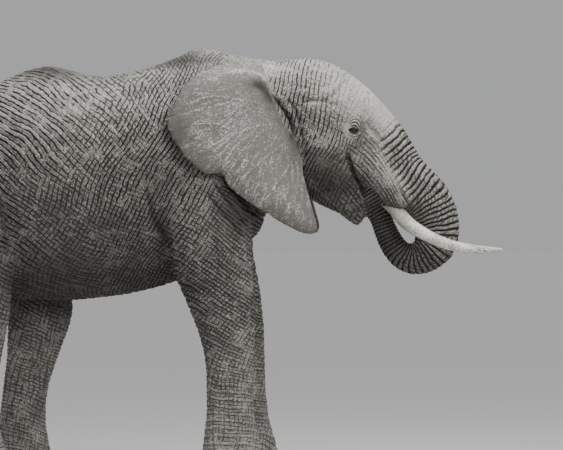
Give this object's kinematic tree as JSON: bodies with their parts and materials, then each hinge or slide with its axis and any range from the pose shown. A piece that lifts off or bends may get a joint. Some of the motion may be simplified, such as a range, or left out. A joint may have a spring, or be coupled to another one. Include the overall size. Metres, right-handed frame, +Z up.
{
  "type": "african bush elephant",
  "caption": "Adult African bush elephant, life size, standing in mid-step with its head level, long curved tusks, ears laid back and trunk curled to its mouth.",
  "frame": {"origin": "on the floor, under the middle of the bounding box", "axes": "+X the way the animal faces, +Y its left side, +Z up"},
  "size_m": [4.4144, 1.4064, 3.0208],
  "materials": {
    "skin": "dry, matt, deeply wrinkled grey skin with pale dust",
    "ivory": "worn off-white ivory, satin, with fine dark cracks and stains",
    "horn": "dull pale brown-grey toenail",
    "eye": "wet dark brown eye",
    "hair": "coarse black wire-like hair"
  },
  "bodies": {
    "root": {"ear_left": "skin", "ear_right": "skin", "eye_left": "eye", "eye_right": "eye", "fore_foot_left": "skin", "fore_foot_right": "skin", "fore_leg_left": "skin", "fore_leg_right": "skin", "fore_nail_left_1": "horn", "fore_nail_left_2": "horn", "fore_nail_left_3": "horn", "fore_nail_left_4": "horn", "fore_nail_right_1": "horn", "fore_nail_right_2": "horn", "fore_nail_right_3": "horn", "fore_nail_right_4": "horn", "head": "skin", "hind_foot_left": "skin", "hind_foot_right": "skin", "hind_leg_left": "skin", "hind_leg_right": "skin", "hind_nail_left_1": "horn", "hind_nail_left_2": "horn", "hind_nail_left_3": "horn", "hind_nail_right_1": "horn", "hind_nail_right_2": "horn", "hind_nail_right_3": "horn", "jaw": "skin", "neck": "skin", "tail": "skin", "tail_tuft": "hair", "torso": "skin", "trunk_base": "skin", "trunk_curl": "skin", "trunk_lower": "skin", "trunk_tip": "skin", "trunk_upper": "skin", "tusk_left": "ivory", "tusk_right": "ivory"}
  },
  "joints": []
}
